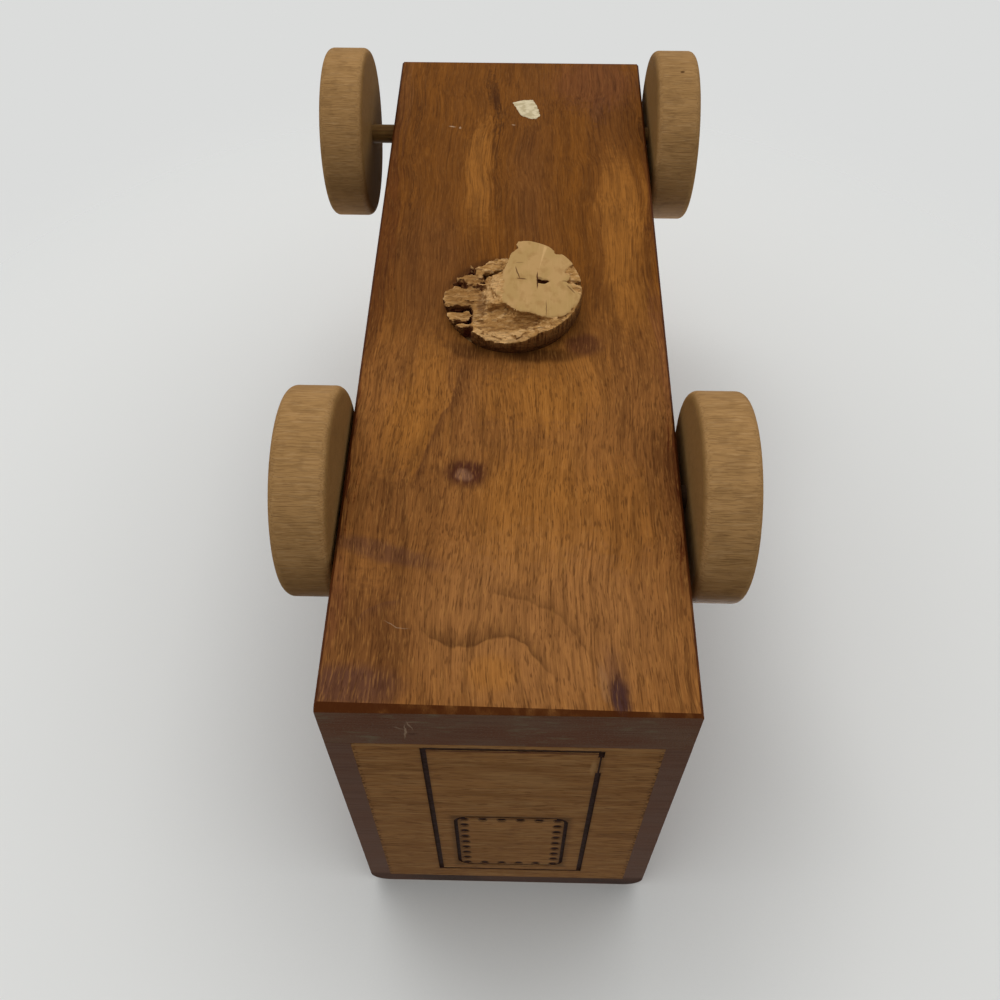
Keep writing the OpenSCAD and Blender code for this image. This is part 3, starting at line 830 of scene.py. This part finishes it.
def base_walnut(woods):
    """Walnut under satin lacquer, sawn and sanded: long streaks, short dark pores, a knot and
    a purple heart that runs out at the rear, with dark worn edges."""
    material, tree, place = new_material("lacquered_walnut_base")
    drift = drifting(tree, place)
    deep = woods.deep
    rear = along_axis(tree, place, 1, -150, -90, **SMOOTH)
    ground = tint(tree, woods.base_front, rear, woods.base)
    colour = walnut_ground(tree, drift, ground, deep)
    # Stains with frayed sides, pushed about by long fine streaks
    ragged = wavering(tree, drift, 1.6, (0, 11, 0), seed=12)
    soft = wavering(tree, ragged, 12, (1.6, 4, 0), seed=3)
    fray = streaks(tree, drift, 0.9, 45, 0.2, 0.8, seed=16)
    fray = add(tree, "MapRange", fray, 0, 1, -2.6, 2.6)
    fray = add(tree, "CombineXYZ", fray)
    soft = add(tree, "VectorMath", soft, fray, operation="ADD")
    colour = stained(tree, colour, soft, BASE_STAINS)
    # Growth lines, marks, grain and specks
    crooked = wavering(tree, place, 4, (1, 1.3, 0), seed=9)
    for points, spread, along, tone, strength in BASE_LINES:
        line = trace(tree, crooked, points, spread, along)
        colour = tint(tree, colour, line, tone, strength)
    colour = stained(tree, colour, crooked, BASE_MARKS)
    coarse = add(tree, "Math", rear, 0.6, 0.4, operation="MULTIPLY_ADD")
    colour, fibre = fine_grain(tree, colour, drift, coarse, deep)
    ends = facing(tree, (0, 1, 0))
    colour = end_grain(tree, colour, place, ends, "end", deep, "end_pale")
    colour = stained(tree, colour, crooked, BASE_SPECKS)
    # The rear end, rubbed and scratched
    raised = standing(tree, wavering(tree, place, 3, (0.9, 0, 0.9), seed=4))
    ends = both(tree, ends, rear)
    rubbed = streaks(tree, place, 1.3, 5, 0.5, 0.7, seed=21, along=0)
    patchy = streaks(tree, place, 12, 16, 0.45, 0.6, seed=22, along=0)
    rubbed = both(tree, both(tree, rubbed, patchy), ends)
    colour = tint(tree, colour, rubbed, "end_green", 0.45)
    colour = stained(tree, colour, raised, END_MARKS, where=ends)
    colour = worn_edges(tree, colour, place)
    surface(tree, colour, fibre, 0.03, Specular_IOR_Level=0.02)
    return material


def worn_edges(tree, colour, place):
    """Dark red-brown where handling has worn and stained the eased edges."""
    edge = 1
    for axis in ((0, 0, 1), (0, 1, 0), (1, 0, 0)):
        square = facing(tree, axis, 0.9, 0.985)
        edge = add(tree, "Math", edge, square, operation="SUBTRACT", use_clamp=True)
    rubbed = streaks(tree, place, 4, 8, 0.05, 0.55, seed=14)
    return tint(tree, colour, both(tree, edge, rubbed), "worn", 0.95)


def body_walnut(woods):
    """Walnut under satin lacquer, sawn thin: growth rings drawn out along the boards."""
    material, tree, place = new_material("lacquered_walnut_body")
    drift = drifting(tree, place)
    colour = walnut_ground(tree, drift, woods.body, woods.deep)
    late = growth_rings(tree, drift, "Y", 9, (-2, 1, 3), (1.6, 0, -1.2), (1.2, 0.6), 0.55)
    colour = tint(tree, colour, late, woods.deep, 0.35)
    colour, fibre = fine_grain(tree, colour, drift, 0.6, woods.deep)
    ends = facing(tree, (0, 1, 0))
    # The roof's end is painted much darker: partly its own end grain, partly painted shade where it
    # meets the floor against the roof
    roof = along_axis(tree, place, 2, 126, 129, **SMOOTH)
    tone = tint(tree, "end_rosy", roof, "roof_end_shade")
    colour = end_grain(tree, colour, place, ends, tone, woods.deep, "end")
    colour = burnt(tree, colour, place, woods)
    colour = worn_edges(tree, colour, place)
    surface(tree, colour, fibre, 0.03, Specular_IOR_Level=0.02)
    return material


# Burnt line work: the face's outward direction and place, and the box that holds its lines
SHIELD_SLOPE = Vector((0, SHIELD_LOW.z - ROOF_LOW.z, ROOF_LOW.y - SHIELD_LOW.y)).normalized()
SHIELD_FOOT = (Vector((0, SHIELD_LOW.y, SHIELD_LOW.z)) - DATUM) / MM
LINE_WORK = (
    ((0, 1, 0), 0, (-30, -2, 20), (30, 1, 123)),
    ((0, -1, 0), LENGTH, (-37, -LENGTH - 1, 20), (37, -LENGTH + 2, 62)),
    (SHIELD_SLOPE, SHIELD_SLOPE.dot(SHIELD_FOOT), (-36, -215, 74), (36, -190, 128)),
    ((1, 0, 0), WIDTH / 2, (42, -192, 20), (46, -144, 123)),
    ((-1, 0, 0), WIDTH / 2, (-46, -192, 20), (-42, -144, 123)),
)
# Corners of the rear door, its window and the rear panel on the rear face, across and up
DOOR_OUTLINE = ((-20.85, 22), (23.05, 120.5))
WINDOW_OUTLINE = ((-14.7, 71), (16.9, 115.5))
PANEL_OUTLINE = ((-38.1, 0), (38.1, 200))
# First and last rivet mark of the rear window, across and up, and the gaps between them
RIVETS = (Vector((-12.3, 0, 72.8)), Vector((14.5, 0, 113.7)), (5, 8))
# Along the foot of the door: a reddish edge above its line, a paler strip below it and the charred
# line itself
FOOT_BANDS = (
    (((-20.6, 22.5), (22.6, 23.4)), "red_edge", 0.6),
    (((-38, 19.3), (38, 20.6)), "panel_pale", 0.35),
    (((-20.8, 20.9), (22.8, 22.6)), "char", 0.9),
)
# The figure of the door's wood: a pale slanting lens with a darker line along it
PANEL_MARKS = (
    ((4, 41), (34, 12), "panel_pale", 0.35, 14),
    ((2, 33), (38, 6), "panel_dark", 0.5, 12),
    ((-8, 52), (30, 5), "panel_dark", 0.45, 10),
    ((12, 27.5), (20, 3), "panel_pale", 0.4, 6),
    ((21.6, 32), (2.2, 12), "panel_pale", 0.7),
)


def burnt(tree, colour, place, woods):
    """Charred grooves and rivet marks: brown-black walls and greyish floors."""
    char = streaks(tree, place, 1.2, 1.2, 0.35, 0.65, seed=2)
    tone = tint(tree, woods.burn, char, "char")
    for outward, offset, low, high in LINE_WORK:
        groove = both(tree, sunk(tree, place, outward, offset), window(tree, place, low, high))
        colour = tint(tree, colour, groove, tone, 0.92)
    return colour


def rivet_scorch(tree, place):
    """Scorched dots round the rivet marks that line the rear window."""
    first, last, gaps = RIVETS
    pitch = Vector(((last.x - first.x) / gaps[0], 0, (last.z - first.z) / gaps[1]))
    moved = add(tree, "VectorMath", place, first, operation="SUBTRACT")
    near = add(tree, "VectorMath", moved, pitch / 2, -pitch / 2, operation="WRAP")
    # The dots are a little taller than wide
    dot = add(tree, "MapRange", distance(tree, near, scale=(1, 1, 0.75)), 1.6, 1)
    reach, depth = Vector((2, 0, 2)), Vector((0, 2, 0))
    row = window(tree, place, first - reach - depth, last + reach + depth)
    inside = window(tree, place, first + reach - depth, last - reach + depth)
    row = add(tree, "Math", row, inside, operation="SUBTRACT", use_clamp=True)
    return both(tree, dot, row)


def panel_birch(woods):
    """Birch board, planed and thinly lacquered: pale with short brown lines across the truck,
    a lens-shaped figure on the door, and line work burnt in with a hot tip."""
    material, tree, place = new_material("lacquered_birch")
    drift = wavering(tree, place, 30, (0, 1.2, 1.2))
    cloud = (9, 60, 0.35, 0.65, 1)
    band = (2.6, 34, 0.4, 0.68, 2.5)
    pale = (1.5, 14, 0.48, 0.7, 6.5)
    fibre = (0.5, 8, 0.42, 0.66, 4)
    pores = (0.6, 4, 0.56, 0.68, 7, 1)
    layers = (
        (cloud, "panel_dark", 0.3),
        (band, "panel_dark", 0.45),
        (pale, "panel_pale", 0.5),
        (fibre, "panel_deep", 0.42),
        (pores, "panel_deep", 0.5),
    )
    colour = grain(tree, woods.panel, drift, layers, along=0)
    # The rear face: its figure, the dark joint round it and the scorching of its line work
    rear = facing(tree, (0, 1, 0), either=False)
    scorch = wavering(tree, place, 2, (0.3, 0, 0.3), seed=5)
    colour = stained(tree, colour, standing(tree, scorch), PANEL_MARKS, where=rear)
    chips = streaks(tree, place, 1.1, 1.1, 0.44, 0.6, seed=11)
    joint = both(tree, both(tree, frame_line(tree, scorch, *PANEL_OUTLINE, 1.3), chips), rear)
    colour = tint(tree, colour, joint, "umber", 0.75)
    for outline, reach, strength in ((DOOR_OUTLINE, 1.7, 0.35), (WINDOW_OUTLINE, 2.6, 0.5)):
        halo = both(tree, frame_line(tree, scorch, *outline, reach), rear)
        colour = tint(tree, colour, halo, "char", strength)
    dots = both(tree, rivet_scorch(tree, place), rear)
    colour = tint(tree, colour, dots, "char", 0.9)
    for (low, high), tone, strength in FOOT_BANDS:
        band = both(tree, window(tree, scorch, (low[0], -1, low[1]), (high[0], 1, high[1])), rear)
        colour = tint(tree, colour, band, tone, strength)
    colour = burnt(tree, colour, place, woods)
    relief = streaks(tree, drift, *fibre, along=0)
    surface(tree, colour, relief, 0.04, roughness=0.6, Specular_IOR_Level=0.02)
    return material


def turned_birch(name, number, woods):
    """Birch turned across its grain into a wheel: short wavy fibres run along the axle on the tread,
    and faint growth rings and pith flecks show on the faces. The face towards the body is darkened
    with painted shade."""
    low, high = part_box(name)
    hub = (low + high) / 2
    material, tree, centred = new_material(f"turned_birch_{name}", hub)
    # Each wheel stands turned a little further, with other grain
    turn = (math.radians(40 + 85 * number), 0, 0)
    seed = 10 * number
    place = add(tree, "Mapping", {"Vector": centred, "Rotation": turn})
    drift = wavering(tree, place, 5, (0, 0.35, 0.35), seed=seed)
    cloud = (14, 20, 0.35, 0.65, seed + 2)
    colour = grain(tree, woods.wheel, drift, ((cloud, "wheel_dark", 0.3),), along=0)
    late = growth_rings(tree, drift, "X", 3.2, (0, 3, 2), (0, 0, 0), (1.6, 1.5), 0.6)
    colour = tint(tree, colour, late, "wheel_dark", 0.25)
    band = (2.2, 16, 0.4, 0.7, seed + 1)
    pale = (0.6, 6, 0.5, 0.7, seed + 3)
    fibre = (0.3, 5, 0.48, 0.66, seed + 4, 1)
    line = (0.5, 9, 0.62, 0.68, seed + 5, 1)
    grime = (3.5, 4.5, 0.5, 0.66, seed + 6, 4)
    layers = (
        (band, "wheel_dark", 0.25),
        (pale, "wheel_pale", 0.28),
        (fibre, "wheel_deep", 0.3),
        (line, "wheel_deep", 0.32),
        (grime, "wheel_deep", 0.24),
    )
    colour = grain(tree, colour, drift, layers, along=0)
    # Painted shade: the face towards the body is darkened, as the body shades it
    inward = (-math.copysign(1, hub.x), 0, 0)
    face = facing(tree, inward, 0.6, 0.9, either=False)
    colour = tint(tree, colour, face, "wheel_inner_shade", 0.65)
    pits = flecks(tree, drift, 9, 14, 0.12, width=0.07, along=0)
    colour = tint(tree, colour, pits, "umber", 0.8)
    relief = streaks(tree, drift, *fibre, along=0)
    surface(tree, colour, relief, 0.05, roughness=0.6, Specular_IOR_Level=0.01)
    return material


def birch_dowel(name, woods, painted_shade):
    """Birch dowel, rolled to size and grimy with use: fine lines along it, dark from handling, and
    darkened further, by the given share, with painted shade for the narrow dark gaps between its
    wheels and the body."""
    material, tree, place = new_material(f"birch_dowel_{name}")
    fibre = (0.5, 20, 0.35, 0.7)
    grime = (5, 7, 0.4, 0.65, 3)
    layers = ((fibre, "umber", 0.5), (grime, "umber", 0.4))
    colour = grain(tree, woods.dowel, place, layers, along=0)
    # Painted shade: a share of charred black over the whole dowel, for the shade in the gaps beside
    # its wheels
    colour = tint(tree, colour, 1, "char", painted_shade)
    relief = streaks(tree, place, *fibre, along=0)
    surface(tree, colour, relief, 0.05, roughness=0.6, Specular_IOR_Level=0.05)
    return material


def colour_choice(name, description, code):
    """A colour that a user may change."""
    return bpy.props.FloatVectorProperty(
        name=name, description=description, subtype="COLOR", size=4, default=linear(code)
    )


def length_choice(name, description, usual, least, most):
    """A length that a user may change; its default and limits are given in mm."""
    return bpy.props.FloatProperty(
        name=name,
        description=description,
        default=usual * MM,
        min=least * MM,
        max=most * MM,
        precision=5,
        unit="LENGTH",
    )


class WoodSettings(bpy.types.PropertyGroup):
    """Colours of the boards, wheels, dowels and cork."""

    base: colour_choice("Base board", "Main colour of the base board towards the rear", "9a6431")
    base_front: colour_choice("Base, front", "The same towards the front", "804d19")
    body: colour_choice("Body boards", "Main colour of the side boards and the roof", "7f4d29")
    deep: colour_choice("Pores", "Pores and dark lines of the walnut", "3c1e0c")
    panel: colour_choice("Panels", "Pale boards let in between the sides", "a87847")
    burn: colour_choice("Burnt lines", "Charred floors of the burnt lines", "3c2b2b")
    wheel: colour_choice("Wheels", "Turned wheels", "ab8454")
    dowel: colour_choice("Dowels", "Dowel axles", "7b5c31")
    cork: colour_choice("Cork", "Cut face of the cork", "b9935f")


class SizeSettings(bpy.types.PropertyGroup):
    """Sizes of the finish and of the pieces made here."""

    board_edge: length_choice(
        "Board edges", "Width of the sanded bevel on the base, sides and roof", 0.35, 0.05, 0.6
    )
    panel_edge: length_choice(
        "Panel edges", "Width of the sanded bevel on panels and burnt lines", 0.2, 0.05, 0.3
    )
    crumb_depth: length_choice(
        "Crumbled relief", "How far the broken faces of the cork rise and fall", 1.2, 0.2, 1.8
    )
    scrap_thick: length_choice(
        "Scrap of paper", "Thickness of the scrap of paper under the front", 0.15, 0.05, 0.5
    )


class StageSettings(bpy.types.PropertyGroup):
    """Camera and floor."""

    lens: bpy.props.FloatProperty(
        name="Lens",
        description="Focal length of the camera on a sensor 36 mm wide",
        default=36.79,
        min=20,
        max=120,
        unit="CAMERA",
    )
    floor_reach: length_choice(
        "Floor radius", "Where the floor has faded into the background", 750, 400, 3000
    )
    floor: colour_choice("Floor", "Pale floor", "e9eae8")


class BaseBoard(bpy.types.Operator):
    """Lacquered walnut on the base board"""

    bl_idname = "coin_bank.base_board"
    bl_label = "Base board"

    def execute(self, context):
        paint(base_walnut(context.scene.coin_bank_woods), "base_board")
        ease(context.scene.coin_bank_sizes.board_edge, "base_board")
        return {"FINISHED"}


class BodyBoards(bpy.types.Operator):
    """Lacquered walnut on the side boards and the roof"""

    bl_idname = "coin_bank.body_boards"
    bl_label = "Side boards and roof"

    def execute(self, context):
        boards = ("left_side", "right_side", "roof_board")
        paint(body_walnut(context.scene.coin_bank_woods), *boards)
        ease(context.scene.coin_bank_sizes.board_edge, *boards)
        return {"FINISHED"}


class Panels(bpy.types.Operator):
    """Birch with burnt lines on the rear, windshield, hood and nose panels"""

    bl_idname = "coin_bank.panels"
    bl_label = "Panels"

    def execute(self, context):
        panels = ("rear_panel", "windshield_panel", "hood_board", "nose_panel")
        paint(panel_birch(context.scene.coin_bank_woods), *panels)
        ease(context.scene.coin_bank_sizes.panel_edge, *panels)
        return {"FINISHED"}


class Wheels(bpy.types.Operator):
    """Turned birch on the four wheels"""

    bl_idname = "coin_bank.wheels"
    bl_label = "Wheels"

    def execute(self, context):
        wheels = [name for name in sorted(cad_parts) if name.endswith("_wheel")]
        for number, name in enumerate(wheels):
            paint(turned_birch(name, number, context.scene.coin_bank_woods), name)
        return {"FINISHED"}


class Axles(bpy.types.Operator):
    """Birch dowel on the two axles"""

    bl_idname = "coin_bank.axles"
    bl_label = "Axles"

    def execute(self, context):
        # The rear axle gets painted shade, for the dark gaps between its wheels and the body
        for name, painted_shade in (("front_axle", 0), ("rear_axle", 0.85)):
            paint(birch_dowel(name, context.scene.coin_bank_woods, painted_shade), name)
        return {"FINISHED"}


class Cork(bpy.types.Operator):
    """The cork, broken and crumbled where it stands out of its hole"""

    bl_idname = "coin_bank.cork"
    bl_label = "Cork"

    def execute(self, context):
        cork = crumbled_cork(context.scene.coin_bank_sizes.crumb_depth / MM)
        cork.data.materials.append(natural_cork(context.scene.coin_bank_woods))
        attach(cork, "cork")
        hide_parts("cork_stopper")
        return {"FINISHED"}


class PaperScrap(bpy.types.Operator):
    """A torn scrap of paper stuck to the underside near the front"""

    bl_idname = "coin_bank.paper_scrap"
    bl_label = "Scrap of paper"

    def execute(self, context):
        thick = context.scene.coin_bank_sizes.scrap_thick / MM
        scrap = plate(SCRAP_OUTLINE, -thick, 0)
        scrap.name = "paper_scrap"
        change(scrap, "TRIANGULATE")
        change(scrap, "SUBSURF", subdivision_type="SIMPLE", levels=4, render_levels=4)
        torn = mark(scrap, "torn", lambda co: True)
        roughen(scrap, torn, "X", 0.7, 0.35)
        roughen(scrap, torn, "Y", 0.8, 0.35)
        scrap.vertex_groups.clear()
        scrap.data.transform(Matrix.Translation(DATUM) @ Matrix.Scale(MM, 4))
        scrap.data.materials.append(cream_paper())
        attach(scrap, "truck_body")
        return {"FINISHED"}


class Stage(bpy.types.Operator):
    """Camera, soft light and the pale floor"""

    bl_idname = "coin_bank.stage"
    bl_label = "Stage"

    def execute(self, context):
        settings = context.scene.coin_bank_stage
        make_camera(context, settings)
        make_world(context)
        make_lights(context)
        make_floors(settings)
        return {"FINISHED"}


# The camera that was fitted to the photograph: where the picture's right and down point, and
# the camera's place on the truck in mm
CAMERA_RIGHT = Vector((0.99975, -0.02222, 0.00254))
CAMERA_DOWN = Vector((0.01653, 0.81072, 0.5852))
CAMERA_PLACE = Vector((0.87, 96.25, -216.06))
# The background that is seen, and how fast the world's light falls off towards +Y and +Z
BACKGROUND = "dbdcdb"
LIGHT_FALL = (0, 0.3, 0.54)
# Lamps: which way they stand from the truck, their size in m and their power
LAMPS = {
    "under_lamp": (Vector((-0.3, -0.25, -0.9)), 0.4, 1.2),
    "upper_lamp": (Vector((0.1, -0.2, 0.97)), 0.6, 8),
}
LAMP_DISTANCE = 1.1
# How far the floors keep off the truck, and how far their contact shadow reaches
FLOOR_GAP = 0.3 * MM
SHADOW_REACH = 90 * MM


def make_camera(context, settings):
    """The camera looks up at the truck from behind and below, as the photograph does."""
    data = bpy.data.cameras.new("camera")
    data.sensor_width = 36
    data.lens = settings.lens
    data.clip_start = 0.01
    camera = bpy.data.objects.new("camera", data)
    context.collection.objects.link(camera)
    axes = Matrix((CAMERA_RIGHT, -CAMERA_DOWN, -CAMERA_RIGHT.cross(CAMERA_DOWN)))
    turn = axes.transposed().to_4x4()
    camera.matrix_world = Matrix.Translation(DATUM + CAMERA_PLACE * MM) @ turn
    context.scene.camera = camera


def make_world(context):
    """Soft light from below and ahead, weaker from behind, and a plain pale background."""
    world = bpy.data.worlds.new("studio")
    world.use_nodes = True
    tree = world.node_tree
    tree.nodes.clear()
    towards = add(tree, "TexCoord", out="Generated")
    fall = add(tree, "VectorMath", towards, LIGHT_FALL, out="Value", operation="DOT_PRODUCT")
    level = add(tree, "Math", 0.5, fall, operation="SUBTRACT", use_clamp=True)
    light = add(tree, "Background", {"Color": (1, 1, 1, 1), "Strength": level})
    pale = add(tree, "Background", {"Color": linear(BACKGROUND), "Strength": 1})
    rays = add(tree, "LightPath").node.outputs
    seen = add(tree, "Math", rays["Is Camera Ray"], rays["Is Glossy Ray"], operation="MAXIMUM")
    seen = add(tree, "Math", seen, rays["Is Transmission Ray"], operation="MAXIMUM")
    mixed = add(tree, "MixShader", seen, light, pale)
    add(tree, "OutputWorld", {"Surface": mixed})
    context.scene.world = world
    context.scene.view_settings.view_transform = "Standard"


def make_lights(context):
    """A weak soft lamp under the truck and a soft lamp over it, as round sheets of light."""
    for name, (towards, size, power) in LAMPS.items():
        data = bpy.data.lights.new(name, "AREA")
        data.shape = "DISK"
        data.size = size
        data.energy = power
        lamp = bpy.data.objects.new(name, data)
        context.collection.objects.link(lamp)
        lamp.location = towards.normalized() * LAMP_DISTANCE
        lamp.rotation_euler = towards.to_track_quat("Z", "Y").to_euler()


def make_floors(settings):
    """Two pale discs that only the camera sees: under the wheels, and against the roof, where
    the truck lies upside down for views from below."""
    top = CAD_BOX[1].z
    reach = settings.floor_reach
    # Name, height, side that is seen, and where it is still whole and where it is gone
    discs = (("floor", -FLOOR_GAP, 1, 0.3, reach), ("roof_floor", top + FLOOR_GAP, -1, 0.22, 0.36))
    for name, height, side, full, gone in discs:
        bpy.ops.object.select_all(action="DESELECT")
        bpy.ops.mesh.primitive_circle_add(vertices=64, radius=gone, fill_type="NGON")
        disc = bpy.context.object
        disc.name = name
        disc.data.transform(Matrix.Translation((0, 0, height)))
        if side < 0:
            disc.data.flip_normals()
        material, tree, place = new_material(name, Vector())
        away = distance(tree, place, scale=(MM, MM, 0))
        fade = add(tree, "MapRange", away, gone, full, **SMOOTH)
        back = add(tree, "NewGeometry", out="Backfacing")
        front = add(tree, "Math", 1, back, operation="SUBTRACT")
        rays = add(tree, "LightPath").node.outputs
        seen = both(tree, both(tree, rays["Is Camera Ray"], front), fade)
        nothing = add(tree, "BsdfTransparent")
        # Painted contact shade: the floor's colour darkens towards the truck by its ambient occlusion
        near = add(tree, "AmbientOcclusion", {"Distance": SHADOW_REACH}, out="AO", samples=12)
        depth = add(tree, "MapRange", near, 0.5, 1, 0.7)
        colour = tint(tree, (0, 0, 0, 1), depth, settings.floor)
        shade = add(tree, "BsdfDiffuse", {"Color": colour})
        mixed = add(tree, "MixShader", seen, nothing, shade)
        add(tree, "OutputMaterial", {"Surface": mixed})
        disc.data.materials.append(material)


class Panel(bpy.types.Panel):
    """Lists the steps and their settings"""

    bl_idname = "VIEW3D_PT_coin_bank"
    bl_label = "Coin Bank"
    bl_space_type = "VIEW_3D"
    bl_region_type = "UI"
    bl_category = "Coin Bank"

    def draw(self, context):
        for step in STEPS:
            self.layout.operator(step.bl_idname)
        for place in SETTINGS:
            group = getattr(context.scene, place)
            for name in group.__annotations__:
                self.layout.prop(group, name)


STEPS = (BaseBoard, BodyBoards, Panels, Wheels, Axles, Cork, PaperScrap, Stage)
# Where the scene keeps each group of settings
SETTINGS = {
    "coin_bank_woods": WoodSettings,
    "coin_bank_sizes": SizeSettings,
    "coin_bank_stage": StageSettings,
}
CLASSES = (*SETTINGS.values(), *STEPS, Panel)


def register():
    """Registers the classes and their settings."""
    for entry in CLASSES:
        bpy.utils.register_class(entry)
    for place, group in SETTINGS.items():
        setattr(bpy.types.Scene, place, bpy.props.PointerProperty(type=group))


def unregister():
    """Takes the settings and the classes out again."""
    for place in SETTINGS:
        delattr(bpy.types.Scene, place)
    for entry in reversed(CLASSES):
        bpy.utils.unregister_class(entry)


def main():
    """Makes the scene."""
    register()
    bpy.ops.coin_bank.base_board()
    bpy.ops.coin_bank.body_boards()
    bpy.ops.coin_bank.panels()
    bpy.ops.coin_bank.wheels()
    bpy.ops.coin_bank.axles()
    bpy.ops.coin_bank.cork()
    bpy.ops.coin_bank.paper_scrap()
    bpy.ops.coin_bank.stage()


if __name__ == "__main__":
    main()
